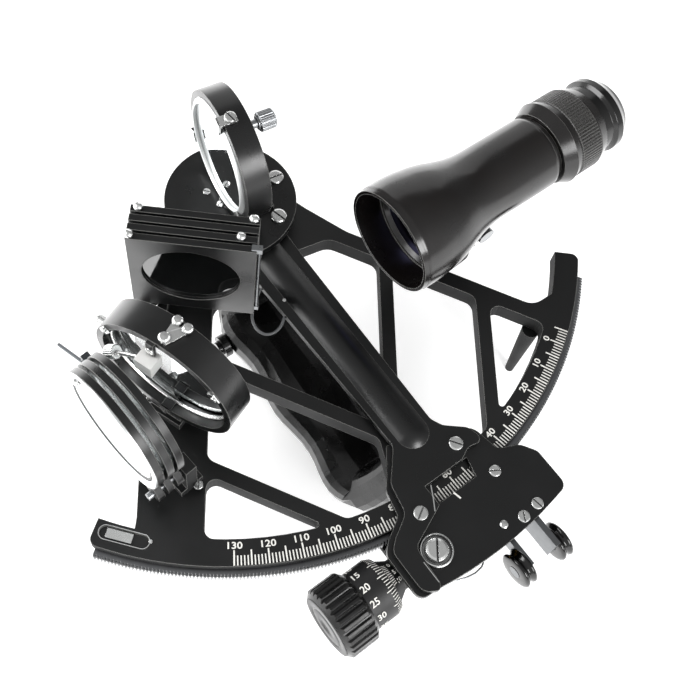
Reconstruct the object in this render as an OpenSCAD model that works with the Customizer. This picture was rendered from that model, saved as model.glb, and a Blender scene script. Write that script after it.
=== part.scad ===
// Marine sextant with a micrometer drum.
// All sizes are millimetres. The instrument lies on its three legs, arc flat, +Z up.
// Most pieces are drawn from the index arm's pivot, with z = 0 on the arc's top face.

/* [Place] */
// Distance of the pivot from the middle of the part's box, along X
pivot_x = -80.7; // [-90:0.1:-50]
// Distance of the pivot from the middle of the part's box, along Y
pivot_y = 29.2; // [20:0.1:70]
// Height of the arc's top face over the surface that the legs stand on
arc_top = 52; // [50:0.5:60]

/* [Frame] */
// Radius of the arc's outer edge
arc_r = 160.3; // [158:0.1:163]
// Width of the arc band
band_w = 10.8; // [9:0.1:12]
// Thickness of the arc band where the rack lies under it
band_t = 4; // [3:0.1:5]
// Angle of the arc's right end
arc_right = 17; // [16.5:0.1:19]
// Angle of the arc's left end
arc_left = 85.8; // [84:0.1:88]
// Depth of the frame's webs
web_depth = 9; // [7:0.1:10]
// Width of a strut
strut_w = 6; // [4:0.1:8]
// Lower edge of the top bar over the pivot
bar_low = 6.5; // [4:0.1:8]
// Width of the top bar
bar_w = 6.8; // [5:0.1:9]
// Distance of the inner struts from the pivot
inner_strut = 70.2; // [66:0.1:74]
// Distance of the outer struts from the pivot
outer_strut = 113; // [109:0.1:116]
// Half the angle between the frame's two sides
half_angle = 33.5; // [32:0.1:35]
// Radius of the corners of the frame's openings
corner_r = 5; // [3:0.1:6]
// Radius of the plate round the pivot
hub_r = 27; // [24:0.1:30]

/* [Rack and worm] */
// Angle from tooth to tooth
tooth_step = 0.5; // [0.5:0.5:1]
// Radius of the rack's tooth tips
rack_r = 163.5; // [162.5:0.1:164]
// Height of a rack tooth
tooth_h = 1.3; // [0.8:0.1:1.6]
// Radius of the worm's thread tips
worm_r = 7.5; // [6.5:0.1:7.6]
// Height of the worm's axis under the arc's top face
worm_z = 7.4; // [7.4:0.1:8]
// Number of turns on the worm
worm_turns = 15; // [8:1:16]

/* [Index arm] */
// Angle at which the arm stands
arm_angle = 30.9; // [20:0.1:40]
// Running gap over the arc and under it
arc_gap = 0.4; // [0.3:0.05:0.6]
// Half the arm's width near the pivot
arm_half_top = 12; // [10:0.1:13]
// Half the arm's width near the arc
arm_half_low = 10; // [8:0.1:11]
// Thickness of the arm's flat bar
arm_t = 5; // [4:0.1:6]
// Height of the ridge over the bar
ridge_h = 2.6; // [1:0.1:3]
// Thickness of the end plate under the arm
plate_t = 2.2; // [1.6:0.1:2.6]
// Radius of the disk over the pivot
disk_r = 29.5; // [27:0.1:31]
// Thickness of that disk
disk_t = 3.9; // [3:0.1:5]
// Radius of the pivot axle
axle_r = 5; // [4:0.1:6]
// Gap round axles that turn in a bush
running_gap = 0.05; // [0.03:0.01:0.08]

/* [Mirrors] */
// Outer radius of the index mirror's holder
index_r = 29.5; // [27:0.1:30]
// Outer radius of the horizon mirror's ring
horizon_r = 31.5; // [29:0.1:33]
// Height of the optical axis over the arc
eye_h = 41.7; // [41:0.1:43]
// Distance of the horizon mirror from the pivot
horizon_dist = 102.5; // [100:0.1:106]
// Direction of the horizon mirror from the pivot
horizon_dir = 80.2; // [79:0.1:82]
// Angle of the horizon mirror's plane
horizon_plane = 10.7; // [9:0.1:12]
// Depth of the horizon mirror's ring
horizon_depth = 13; // [10:0.1:15]
// Angle of the index mirror's plane
index_plane = 41; // [40:0.1:42]
// Depth of the index mirror's holder
index_depth = 11; // [9:0.1:12]
// Thickness of the mirror glasses
mirror_t = 3; // [2:0.1:4]

/* [Shades] */
// Width and height of an index shade's plate
plate_w = 51; // [48:0.5:54]
// Distance of the front index shade from the pivot
index_shade_dist = 54.6; // [54:0.1:58]
// Distance from shade to shade at the index mirror
index_pitch = 4.2; // [3.6:0.1:4.3]
// Radius of an index shade's window
index_window_r = 20; // [16:0.1:21]
// Distance of the nearest horizon shade from its mirror
horizon_shade_dist = 14; // [13:0.1:16]
// Angle of the horizon shades' planes
horizon_shade_angle = 25; // [24:0.1:27]
// Distance from shade to shade at the horizon mirror
horizon_pitch = 4.6; // [4:0.1:5]
// Outer radius of a horizon shade's ring
shade_ring_r = 27; // [26:0.1:28]
// Radius of a horizon shade's window
shade_window_r = 23.5; // [20:0.1:24]
// Thickness of a shade's frame
shade_t = 3; // [2.4:0.1:3.2]
// Thickness of a shade's glass
shade_glass_t = 1.5; // [1:0.1:2]
// Radius of the pins that the shades turn on
shade_pin_r = 1.5; // [1.2:0.1:2]

/* [Telescope] */
// Direction of the telescope's axis
scope_dir = 58.8; // [57:0.1:60]
// Distance of the telescope's axis from the pivot
scope_off = 68; // [66:0.1:70]
// Radius of the hood
hood_r = 24; // [22:0.1:25]
// Radius of the tube
tube_r = 16.3; // [15:0.1:17]
// Wall of the tube and of the hood
tube_wall = 1.8; // [1.4:0.1:2.4]
// Radius of the knurled focus ring
focus_r = 18.6; // [17.5:0.1:20]

/* [Handle and legs] */
// Width of the grip
grip_w = 36; // [30:0.5:40]
// Thickness of the grip
grip_t = 21; // [18:0.5:23]
// Distance of the grip's middle from the arc's top face
grip_drop = 38.2; // [36:0.1:39]
// Height of a finger wave on the grip's side
finger_wave = 1.4; // [0:0.1:2]
// Radius of a leg at its root
leg_root_r = 4; // [3.5:0.1:4.5]
// Radius of a leg at its foot
leg_foot_r = 2; // [1.6:0.1:3]

/* [Drum] */
// Radius of the graduated drum
drum_r = 12.5; // [11:0.1:13]
// Length of the graduated drum
drum_len = 13; // [11:0.1:15]
// Radius of the knob over its ridges
knob_r = 15.2; // [13:0.1:15.6]
// Length of the knob
knob_len = 15.5; // [12:0.1:18]
// Number of ridges on the knob
knob_ridges = 30; // [12:1:32]
// Radius of the finger disks of the release levers
finger_disk_r = 7.8; // [6:0.1:9]

/* [Hidden] */
$fn = 72;

// Small clearances
flat_gap = 0.02;
glass_gap = 0.05;
body_gap = 0.3;

// Frame
band_in = arc_r - band_w;
rib_w = 4.7;
web_angle = 2 * half_angle;
limb_left = [[-17, -14], [-17, -62], [2, -92], [24.5, -143]];
leg_places = [[145.1, 6.2], [30, -140], [-14, 6]];
boss_r = 10;
scope_lug = [[70, bar_low + 3], [84, 29], [93, 42], [108.5, 32], [100.5, 16.5], [98, bar_low + 3]];
boss_depth = 16;
bush_r = axle_r + 2;
bush_flange = 2;

// Index arm heights over the arc
plate_low = arc_gap;
plate_top = plate_low + plate_t;
arm_top = plate_low + arm_t;
hub_top = arm_top + ridge_h + body_gap;
disk_top = hub_top + disk_t;
arm_hub_r = 24;
worm_x = rack_r + body_gap + worm_r;
shaft_r = 3;
lever_pivot = [worm_x - 3.3, 24];
lever_pin_r = 2;
neck_low_r = 6.8;
sleeve_from = 39;
sleeve_r = 9.9;
drum_at = 44.4;
shaft_end = drum_at + drum_len + knob_len - 3.5;
finger_z = -10.5;
finger_eye_r = 2.6;
carriage_top = -body_gap;
carriage_floor_t = 2.6;
carriage_low = -worm_z - worm_r - body_gap - carriage_floor_t;

// Mirrors
horizon_centre = horizon_dist * [cos(horizon_dir), -sin(horizon_dir)];
index_centre = [-5.8, 0.3];
ring_wall = 3;

// Shades
index_shade_angle = 17.5;
index_shade_beam = 79.5;
shade_low = hub_top + 1.4;
index_pin_at = [-20, shade_low + 6];
index_window_at = [-3, 37];
plate_left = -28;
index_shades = 4;
horizon_shades = 3;
horizon_shade_side = 5;
horizon_pin_at = [22, 17];
seat_wall = 1;
eye_drop = 0.7;
ring_h = eye_h - eye_drop;
glass_seat_at = shade_t - 1.6;

// Telescope
axis_unit = [cos(scope_dir), sin(scope_dir)];
axis_foot = scope_off * [sin(scope_dir), -cos(scope_dir)];
neck_r = 13;
hood_front = 30;
hood_back = 44;
lens_seat = 47;
mouth_r = hood_r - tube_wall;
mouth_end = lens_seat - 2;
tube_end = 112.3;
neck_end = 140;
focus_front = 115.3;
focus_back = 141.5;
rail_front = 50;
rail_back = 88;
rail_w = 11;
rail_low = 13;
bracket_front = 66.5;
clamp_at = [83, 17];

function unit(v) = v / norm(v);
function turned(p, a) = [p.x * cos(a) - p.y * sin(a), p.x * sin(a) + p.y * cos(a)];
// Crossing of the level line at height y with the slanted line at distance c from the pivot
function crossing(c, y) = [(c - y * cos(web_angle)) / sin(web_angle), y];
// Points along a circle round the pivot
function arc_points(r, from, to, n) = [for (i = [0:n]) let (a = from + (to - from) * i / n)
    r * [cos(a), sin(a)]];
// Arc that rounds the corner b of the line a, b, c
function corner(a, b, c, r, n = 5) =
    let (u = unit(a - b), w = unit(c - b), half = acos(max(-1, min(1, u * w))) / 2)
    half > 86 ? [b] :
    let (near = 0.48 * min(norm(a - b), norm(c - b)) * tan(half),
         fit = min(r, near),
         mid = b + unit(u + w) * fit / sin(half),
         from = b + u * fit / tan(half) - mid,
         to = b + w * fit / tan(half) - mid,
         side = from.x * to.y - from.y * to.x > 0 ? 1 : -1)
    [for (i = [0:n]) mid + turned(from, side * (180 - 2 * half) * i / n)];
// Closed outline with each corner rounded by the radius that stands beside it
function rounded(pts, radii) = [for (i = [0:len(pts) - 1])
    each corner(pts[(i + len(pts) - 1) % len(pts)], pts[i], pts[(i + 1) % len(pts)], radii[i])];
function same(r, pts) = [for (p = pts) r];

module placed() {
    translate([pivot_x, pivot_y, arc_top]) children();
}

// Frame of the index arm: x runs from the pivot along the arm
module along_arm() {
    placed() rotate([0, 0, -arm_angle]) children();
}

// Frame of the worm: z runs along its axis toward the knob
module along_worm() {
    along_arm() translate([worm_x, 0, -worm_z]) rotate([90, 0, 0]) children();
}

// Frame of the telescope: z runs along its axis toward the eye
module along_scope() {
    placed() translate([axis_foot.x, axis_foot.y, ring_h])
        rotate([0, 0, scope_dir]) rotate([0, 90, 0]) rotate([0, 0, 90]) children();
}

// Frame of the grip: x runs along the frame's middle line
module along_frame() {
    placed() rotate([0, 0, -half_angle]) children();
}

// Upright frame of a mirror: z runs out of the plane, y is up, x lies in the plane
module upright(at, angle, h) {
    placed() translate([at.x, at.y, h]) rotate([0, 0, angle]) rotate([90, 0, 0]) children();
}

module both_sides() {
    children();
    mirror([sin(half_angle), cos(half_angle), 0]) children();
}

module bar(from, size) {
    translate(from) cube(size);
}

module ring(r, bore, h) {
    difference() {
        cylinder(r = r, h = h);
        translate([0, 0, -1]) cylinder(r = bore, h = h + 2);
    }
}

// Openings of the frame, right half. The left half mirrors it.
module web_openings() {
    low = strut_w / 2;
    arc_in = band_in;
    // The long cell between the inner and the outer strut
    inner_line = inner_strut + low;
    outer_line = outer_strut - low;
    top_y = bar_low;
    node_at = crossing(inner_line, -inner_strut + 6);
    outer_hit = turned([outer_line, -sqrt(arc_in * arc_in - outer_line * outer_line)],
        90 - web_angle);
    hit_angle = atan2(outer_hit.y, outer_hit.x);
    cell = concat(
        [crossing(inner_line, top_y), node_at],
        arc_points(arc_in, -half_angle + 5.5, hit_angle, 3),
        [crossing(outer_line, top_y)]);
    linear_extrude(height = 3 * web_depth, center = true)
        polygon(rounded(cell, same(corner_r, cell)));
    // The small cell between the outer strut and the arc
    far_line = outer_strut + low;
    far_hit = turned([far_line, -sqrt(arc_in * arc_in - far_line * far_line)], 90 - web_angle);
    top_hit = asin(top_y / arc_in);
    small = concat(
        [crossing(far_line, top_y)],
        arc_points(arc_in, atan2(far_hit.y, far_hit.x), top_hit, 6));
    linear_extrude(height = 3 * web_depth, center = true)
        polygon(rounded(small, same(corner_r - 1, small)));
}

module frame_casting() {
    low = strut_w / 2;
    top_y = bar_low + bar_w;
    inner = inner_strut - low;
    plate = concat(
        [[0, 24], [30, 17], [52, top_y], [142, top_y]],
        arc_points(band_in + 1, 9, -80, 20),
        [limb_left[3], limb_left[2], limb_left[1], limb_left[0], [-20, 8]]);
    radii = concat([4, 20, 20, 8], [for (i = [0:20]) 0.3], [1, 20, 12, 6, 6]);
    near_cell = [crossing(-bar_low, -inner), crossing(inner, -inner), crossing(inner, bar_low),
        [46, bar_low], [20, -22], crossing(-bar_low, -46)];
    color("#1b1c1d") placed() difference() {
        union() {
            translate([0, 0, -web_depth]) linear_extrude(height = web_depth)
                polygon(rounded(plate, radii));
            translate([0, 0, -web_depth]) cylinder(r = hub_r, h = web_depth);
            translate([0, 0, -boss_depth]) cylinder(r = boss_r, h = boss_depth);
            rotate([0, 0, -arc_left]) rotate_extrude(angle = arc_left + arc_right, $fn = 360)
                polygon([[band_in, -web_depth], [band_in + rib_w, -web_depth],
                    [band_in + rib_w, -band_t], [arc_r, -band_t], [arc_r, 0], [band_in, 0]]);
            translate([0, 0, -web_depth]) linear_extrude(height = web_depth)
                polygon(rounded(scope_lug, [1, 5, 5, 5, 3, 1]));
            translate(concat(leg_places[0], [-web_depth]))
                cylinder(r = leg_root_r + 0.6, h = web_depth);
        }
        both_sides() web_openings();
        linear_extrude(height = 3 * web_depth, center = true)
            polygon(rounded(near_cell, [5, 5, 5, 8, 12, 8]));
        translate([0, 0, -boss_depth - 1]) cylinder(r = bush_r + flat_gap, h = boss_depth + 2);
        // Slot near the arc's left end
        rotate([0, 0, -81.2]) translate([153.6, 0, -1.2]) {
            bar([-2.7, -7.5, 0], [5.4, 15, 2]);
            for (s = [-1, 1]) translate([0, 7.5 * s, 0]) cylinder(r = 2.7, h = 2);
        }
        for (end = [[arc_right, 1], [-arc_left, -1]]) rotate([0, 0, end[0]])
            translate([arc_r, 0, 0]) end_round(end[1]);
    }
}

// Rounds the arc's outer corner at one end
module end_round(side) {
    r = 3.4;
    translate([-r, -side * r, -web_depth - 1]) difference() {
        translate([0, side > 0 ? 0 : -r - 2, 0]) cube([r + 2, r + 2, web_depth + 2]);
        translate([0, 0, -1]) cylinder(r = r, h = web_depth + 4);
    }
}

// Toothed strip under the arc's edge
module arc_rack() {
    first = -arc_left + 1;
    last = arc_right - 3;
    teeth = floor((last - first) / tooth_step);
    root = rack_r - tooth_h;
    outer = [for (i = [0:teeth - 1]) let (a = first + i * tooth_step) each [
        root * [cos(a), sin(a)],
        rack_r * [cos(a + 0.3 * tooth_step), sin(a + 0.3 * tooth_step)],
        rack_r * [cos(a + 0.55 * tooth_step), sin(a + 0.55 * tooth_step)],
        root * [cos(a + 0.85 * tooth_step), sin(a + 0.85 * tooth_step)]]];
    inner = arc_points(band_in + rib_w + 0.15, last, first, 40);
    color("#2b2c2d") placed() translate([0, 0, -web_depth])
        linear_extrude(height = web_depth - band_t - flat_gap) polygon(concat(outer, inner));
}

module pivot_bush() {
    color("#b08d4a") placed() difference() {
        union() {
            translate([0, 0, -boss_depth]) cylinder(r = bush_r, h = boss_depth);
            translate([0, 0, -boss_depth - bush_flange])
                cylinder(r = boss_r, h = bush_flange - flat_gap);
        }
        translate([0, 0, -boss_depth - bush_flange - 1])
            cylinder(r = axle_r + running_gap, h = boss_depth + bush_flange + 2);
    }
}

module leg(place) {
    color("#202122") placed() translate([place.x, place.y, -arc_top]) {
        cylinder(r1 = leg_foot_r, r2 = leg_root_r, h = arc_top - web_depth - flat_gap);
    }
}
module leg_1() { leg(leg_places[0]); }
module leg_2() { leg(leg_places[1]); }
module leg_3() { leg(leg_places[2]); }

// Grip: oval sections carried along a bowed path from foot to foot
grip_from = 22;
grip_to = 138;
grip_side = -7;
grip_stations = 30;
switch_at = 40;
switch_travel = 1.5;
switch_seat = grip_side - grip_w / 2 - finger_wave - 0.1;
function grip_path(t) = let (bend = min(1, sin(180 * t) * 2.1))
    [grip_from + (grip_to - grip_from) * (0.5 - cos(180 * t) / 2), grip_side * min(1, bend * 1.2),
     -web_depth - flat_gap - (grip_drop - web_depth) * bend];
function grip_half(t) = let (b = min(1, sin(180 * t) * 1.9))
    [8 + (grip_w / 2 - 8) * b + finger_wave * b * cos(360 * 4 * t), 8 + (grip_t / 2 - 8) * b];
function grip_normal(t) = let (e = 0.004, a = grip_path(max(0, t - e)), b = grip_path(min(1, t + e)))
    t < 0.001 ? [1, 0, 0] : t > 0.999 ? [-1, 0, 0] : unit([-(b.z - a.z), 0, b.x - a.x]);
function grip_section(t, n) = let (p = grip_path(t), h = grip_half(t), up = grip_normal(t))
    [for (i = [0:n - 1]) let (a = 360 * i / n, c = cos(a), s = sin(a))
        p + [0, 1, 0] * h[0] * sign(c) * pow(abs(c), 0.75) + up * h[1] * sign(s) * pow(abs(s), 0.75)];
module tube_of(sections) {
    n = len(sections[0]);
    m = len(sections);
    polyhedron(
        points = [for (s = sections) each s],
        faces = concat(
            [[for (i = [0:n - 1]) i]],
            [for (k = [0:m - 2]) for (i = [0:n - 1]) each [
                [k * n + i, (k + 1) * n + i, k * n + (i + 1) % n],
                [k * n + (i + 1) % n, (k + 1) * n + i, (k + 1) * n + (i + 1) % n]]],
            [[for (i = [n - 1:-1:0]) (m - 1) * n + i]]));
}
module handle() {
    color("#161617") along_frame()
        tube_of([for (k = [0:grip_stations]) grip_section(k / grip_stations, 18)]);
}

module battery_cap() {
    color("#1d1d1e") along_frame() translate([96, grip_side, -grip_drop - grip_t / 2 - 2.2])
        cylinder(r = 8, h = 2.2 - flat_gap);
}

module switch_collar() {
    color("#8d9093") along_frame() translate([switch_at, switch_seat, -grip_drop])
        rotate([90, 0, 0]) ring(5.5, 3.6, 3.4);
}

module light_switch() {
    color("#a01e1e") along_frame()
        translate([switch_at, switch_seat - switch_travel - 0.5, -grip_drop])
            rotate([90, 0, 0]) cylinder(r = 3.55, h = 3.4);
}

module scope_bracket() {
    cheek_w = 3;
    half = rail_w / 2;
    web_l = rail_back - bracket_front - 2;
    color("#1c1d1e") placed() translate(concat(axis_foot, [0])) rotate([0, 0, scope_dir]) difference() {
        union() {
            bar([bracket_front, -half - cheek_w, flat_gap], [16, rail_w + 2 * cheek_w, 4]);
            bar([bracket_front + 2, -half, 3], [web_l, rail_w, rail_low - 3 - flat_gap]);
            for (y = [half + flat_gap, -half - cheek_w])
                bar([clamp_at.x - 9, y, 3], [14, cheek_w - flat_gap, rail_low + 2]);
        }
        translate([clamp_at.x - 2, 0, clamp_at.y]) rotate([90, 0, 0]) cylinder(r = 1.6, h = 30);
    }
}

module scope_clamp() {
    color("#b9bcbe") placed() translate([axis_foot.x, axis_foot.y, clamp_at.y])
        rotate([0, 0, scope_dir]) translate([clamp_at.x - 2, -rail_w / 2 - body_gap, 0])
            rotate([90, 0, 0]) {
                cylinder(r = 1.5, h = 5);
                translate([0, 0, 3.2]) cylinder(r = 4, h = 4.5);
            }
}

module scope_tube() {
    color("#222120") along_scope() difference() {
        union() {
            rotate_extrude() polygon([[0, hood_front + 2], [hood_r - 0.4, hood_front + 2],
                [hood_r, hood_front + 4], [hood_r, hood_back], [hood_r - 1.6, 56], [tube_r + 1.2, 71],
                [tube_r, 80], [tube_r, tube_end], [tube_r - 1.3, tube_end + 0.2],
                [tube_r - 1.3, focus_front - 0.3], [neck_r, focus_front - 0.3], [neck_r, neck_end],
                [0, neck_end]]);
            bar([-rail_w / 2, -ring_h + rail_low, rail_front],
                [rail_w, eye_h - rail_low - tube_r + 3, rail_back - rail_front]);
        }
        rotate_extrude() polygon([[0, hood_front - 1], [mouth_r, hood_front - 1],
            [mouth_r, mouth_end], [mouth_r - 0.5, mouth_end], [mouth_r - 0.5, lens_seat + 6],
            [hood_r - 5, lens_seat + 6], [hood_r - 5, 57],
            [tube_r - tube_wall - 0.5, 74], [neck_r - tube_wall - 1, 100],
            [neck_r - tube_wall - 1, neck_end + 1], [0, neck_end + 1]]);
    }
}

module objective_ring() {
    rim = mouth_r - 0.6;
    color("#2c2b2a") along_scope() rotate_extrude() polygon([
        [rim, mouth_end + 0.2], [rim, lens_seat + 5.9], [hood_r - 4, lens_seat + 5.9],
        [hood_r - 4, lens_seat], [hood_r - 5, lens_seat], [hood_r - 3.4, mouth_end + 0.2]]);
}

module objective_lens() {
    bulge = 90;
    r = hood_r - 4 - glass_gap;
    color("#26304a", 0.8) along_scope() translate([0, 0, lens_seat + flat_gap]) intersection() {
        cylinder(r = r, h = 5.4);
        translate([0, 0, bulge + 0.4]) sphere(r = bulge);
    }
}

module focus_ring() {
    color("#1f1f20") along_scope() rotate_extrude() polygon([
        [neck_r + running_gap, focus_front], [tube_r + 0.5, focus_front], [focus_r + 0.9, 120.8],
        [focus_r + 0.2, 123.2], [focus_r, 123.8], [focus_r, 136], [tube_r + 0.5, 140.6],
        [tube_r - 0.7, focus_back], [neck_r + running_gap, focus_back]]);
}

module eye_cup() {
    color("#191919") along_scope() rotate_extrude() polygon([
        [neck_r - 2, focus_back + flat_gap], [tube_r - 0.7, focus_back + flat_gap], [tube_r - 0.7, 145.6],
        [tube_r + 0.9, 147], [tube_r + 0.9, 150], [tube_r - 1.5, 153], [tube_r - 2.6, 155],
        [neck_r - 3, 155], [neck_r - 4, 150], [neck_r - 2, 147]]);
}

module eye_lens() {
    color("#2a3350", 0.8) along_scope() translate([0, 0, focus_back + 0.7])
        cylinder(r = neck_r - 2 - glass_gap, h = 4);
}

// Horizon mirror
module at_horizon(h = 0) {
    upright(horizon_centre, -horizon_plane, ring_h) translate([0, 0, h]) children();
}

module horizon_bracket() {
    color("#1c1d1e") difference() {
        union() {
            upright(horizon_centre, -horizon_plane, 0) {
                bar([-13, flat_gap, -horizon_depth - 1], [20, 4, horizon_depth + 2]);
                bar([-10, 3, -horizon_depth + 1], [16, 10, horizon_depth - 2]);
            }
        }
        at_horizon(-horizon_depth - 2) cylinder(r = horizon_r + flat_gap, h = horizon_depth + 4);
    }
}

module horizon_ring() {
    color("#232323") at_horizon(-horizon_depth) difference() {
        cylinder(r = horizon_r, h = horizon_depth);
        translate([0, 0, mirror_t + 1]) cylinder(r = horizon_r - ring_wall, h = horizon_depth);
        translate([0, 0, -1]) cylinder(r = horizon_r - ring_wall - 2, h = horizon_depth);
    }
}

module half_disc(r, h, side) {
    intersection() {
        cylinder(r = r, h = h);
        translate([side > 0 ? flat_gap : -r - 1, -r - 1, -1]) cube([r + 1 - flat_gap, 2 * r + 2, h + 2]);
    }
}

// The part of the horizon mirror beside the frame is silvered, and the outer part is clear
module horizon_glass() {
    color("#c9d4d6", 0.5) at_horizon(-horizon_depth + mirror_t + 1 + flat_gap)
        half_disc(horizon_r - ring_wall - glass_gap, mirror_t, -1);
}

module horizon_silver() {
    color("#d8dcdd") at_horizon(-horizon_depth + mirror_t + 1 + flat_gap)
        half_disc(horizon_r - ring_wall - glass_gap, mirror_t, 1);
}

module horizon_clips() {
    color("#b9bcbe") at_horizon(-horizon_depth + 2 * mirror_t + 1 + 2 * flat_gap) {
        for (a = [35, 150, 270]) rotate([0, 0, a])
            bar([horizon_r - ring_wall - 7.5, -2.5, 0], [7, 5, 1.2]);
    }
}

module horizon_adjusters() {
    color("#c4c7c9") at_horizon(0) {
        for (a = [75, 180]) rotate([0, 0, a]) translate([horizon_r + flat_gap, 0, -horizon_depth / 2])
            rotate([0, 90, 0]) cylinder(r = 2.4, h = 5);
    }
}

// Index shades: the stack's frame has x along the plates and z toward the pivot
module at_index_shades() {
    at = index_shade_dist * [cos(index_shade_beam), -sin(index_shade_beam)];
    placed() translate(concat(at, [0]))
        rotate([0, 0, index_shade_angle]) rotate([90, 0, 0]) mirror([0, 0, 1]) children();
}

module index_shade_bracket() {
    back = index_shades * index_pitch + 0.6;
    color("#1c1d1e") at_index_shades() difference() {
        union() {
            bar([index_pin_at.x - 5.5, flat_gap, -1.5], [11.5, 5, back + 6]);
            bar([index_pin_at.x - 4, 4, back], [9, index_pin_at.y + 3.5, 4]);
        }
        translate([index_pin_at.x, index_pin_at.y, back - 1])
            cylinder(r = shade_pin_r + running_gap, h = 7);
    }
}

module index_shade_pin() {
    color("#b9bcbe") at_index_shades() translate([index_pin_at.x, index_pin_at.y, 1.2])
        cylinder(r = shade_pin_r, h = index_shades * index_pitch + 3.6);
}

module index_shade(k) {
    color("#262626") at_index_shades() translate([0, 0, k * index_pitch]) difference() {
        bar([plate_left, shade_low, 0], [plate_w, plate_w + 2, shade_t]);
        translate(concat(index_window_at, [-1])) cylinder(r = index_window_r, h = shade_t + 2);
        translate(concat(index_window_at, [glass_seat_at]))
            cylinder(r = index_window_r + seat_wall, h = shade_t);
        translate([index_pin_at.x, index_pin_at.y, k == 0 ? 1 : -1])
            cylinder(r = shade_pin_r + running_gap, h = shade_t + 2);
    }
}
module index_shade_1() { index_shade(0); }
module index_shade_2() { index_shade(1); }
module index_shade_3() { index_shade(2); }
module index_shade_4() { index_shade(3); }

module index_filter(k) {
    color("#101a12") at_index_shades()
        translate(concat(index_window_at, [k * index_pitch + glass_seat_at + flat_gap]))
            cylinder(r = index_window_r + seat_wall - glass_gap, h = shade_glass_t);
}
module index_filter_1() { index_filter(0); }
module index_filter_2() { index_filter(1); }
module index_filter_3() { index_filter(2); }
module index_filter_4() { index_filter(3); }

// Horizon shades: the stack's frame has x along the rings and z away from the telescope
module at_horizon_shades() {
    side = [axis_unit.y, -axis_unit.x];
    at = horizon_centre - horizon_shade_dist * axis_unit + horizon_shade_side * side;
    upright(at, -horizon_shade_angle, 0) children();
}

module horizon_shade_bracket() {
    color("#1c1d1e") at_horizon_shades() difference() {
        union() {
            bar([horizon_pin_at.x - 8, flat_gap, -9], [12, 4, 11]);
            bar([horizon_pin_at.x - 4, 3, -6.2], [8, horizon_pin_at.y + 1.5, 5.2]);
        }
        translate([horizon_pin_at.x, horizon_pin_at.y, -7]) cylinder(r = shade_pin_r + running_gap, h = 8);
    }
}

module horizon_shade_pin() {
    color("#b9bcbe") at_horizon_shades() translate([horizon_pin_at.x, horizon_pin_at.y, -6])
        cylinder(r = shade_pin_r, h = 7 + horizon_shades * horizon_pitch);
}

module horizon_shade(k) {
    lean = atan2(horizon_pin_at.y - ring_h, horizon_pin_at.x);
    reach = norm([horizon_pin_at.x, horizon_pin_at.y - ring_h]);
    inner = shade_window_r + seat_wall;
    color("#242424") at_horizon_shades() translate([0, ring_h, k * horizon_pitch]) difference() {
        union() {
            cylinder(r = shade_ring_r, h = shade_t);
            rotate([0, 0, lean]) bar([inner, -4, 0], [reach - inner, 8, shade_t]);
            rotate([0, 0, lean]) translate([reach, 0, 0]) cylinder(r = 4, h = shade_t);
        }
        translate([0, 0, -1]) cylinder(r = shade_window_r, h = shade_t + 2);
        translate([0, 0, glass_seat_at]) cylinder(r = inner, h = shade_t);
        rotate([0, 0, lean]) translate([reach, 0, -1])
            cylinder(r = shade_pin_r + running_gap, h = shade_t + 2);
    }
}
module horizon_shade_1() { horizon_shade(0); }
module horizon_shade_2() { horizon_shade(1); }
module horizon_shade_3() { horizon_shade(2); }

module horizon_filter(k) {
    color("#c9d4d6", 0.6) at_horizon_shades()
        translate([0, ring_h, k * horizon_pitch + glass_seat_at + flat_gap])
            cylinder(r = shade_window_r + seat_wall - glass_gap, h = shade_glass_t);
}
module horizon_filter_1() { horizon_filter(0); }
module horizon_filter_2() { horizon_filter(1); }
module horizon_filter_3() { horizon_filter(2); }

// Index arm
window_at = [158, 1.2];
// The window's front edge is set by how far it reaches past its middle
module window_cut(front) {
    translate([0, 0, -1]) linear_extrude(height = 20) polygon([
        window_at + [-6, -11.4], window_at + [front, -11.4], window_at + [front, 8.6 + 0.23 * (6 - front)],
        window_at + [-6, 11.4]]);
}

module index_arm() {
    ridge_r = 11;
    ridge_l = 121;
    end_left = [[131, -arm_half_low], [139, -17], [143, -21], [156, -23.5], [161.5, -33],
        [165, -37.4], [184, -37.4], [187.5, -31.3]];
    end_in = [[185, -29.6], [169, -28.6], [165, -19], [162.5, -13], [149.5, 15], [151, 22.5],
        [143, 20.8], [136, 12.4]];
    outline = concat([[0, -arm_half_top - 2]], [[40, -arm_half_top]], end_left, end_in,
        [[131, arm_half_low], [40, arm_half_top], [0, arm_half_top + 2]]);
    radii = concat([1, 1], [6, 8, 8, 6, 8, 5, 5, 2], [2, 4, 2, 3, 4, 3, 6, 6], [6, 1, 1]);
    color("#1e1f20") along_arm() difference() {
        union() {
            translate([0, 0, plate_low]) cylinder(r = arm_hub_r, h = hub_top - plate_low);
            translate([0, 0, plate_top + flat_gap])
                linear_extrude(height = arm_top - plate_top - flat_gap) polygon(rounded(outline, radii));
            translate([0, 0, plate_low]) linear_extrude(height = plate_top - plate_low + 0.5) polygon([
                [0, -arm_half_top], [40, -arm_half_top + 0.6], [128, -arm_half_low + 0.6],
                [128, arm_half_low - 0.6], [40, arm_half_top - 0.6], [0, arm_half_top]]);
            intersection() {
                translate([10, 0, arm_top + ridge_h - ridge_r]) rotate([0, 90, 0])
                    cylinder(r = ridge_r, h = ridge_l);
                bar([10, -9, plate_top], [ridge_l, 18, 20]);
            }
            translate([10 + ridge_l, 0, arm_top + ridge_h - ridge_r]) intersection() {
                sphere(r = ridge_r);
                bar([-1, -9, ridge_r - ridge_h - 1], [20, 18, 20]);
            }
        }
        window_cut(6);
        translate([0, 0, plate_low - 1]) cylinder(r = axle_r + flat_gap, h = 20);
    }
}

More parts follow.
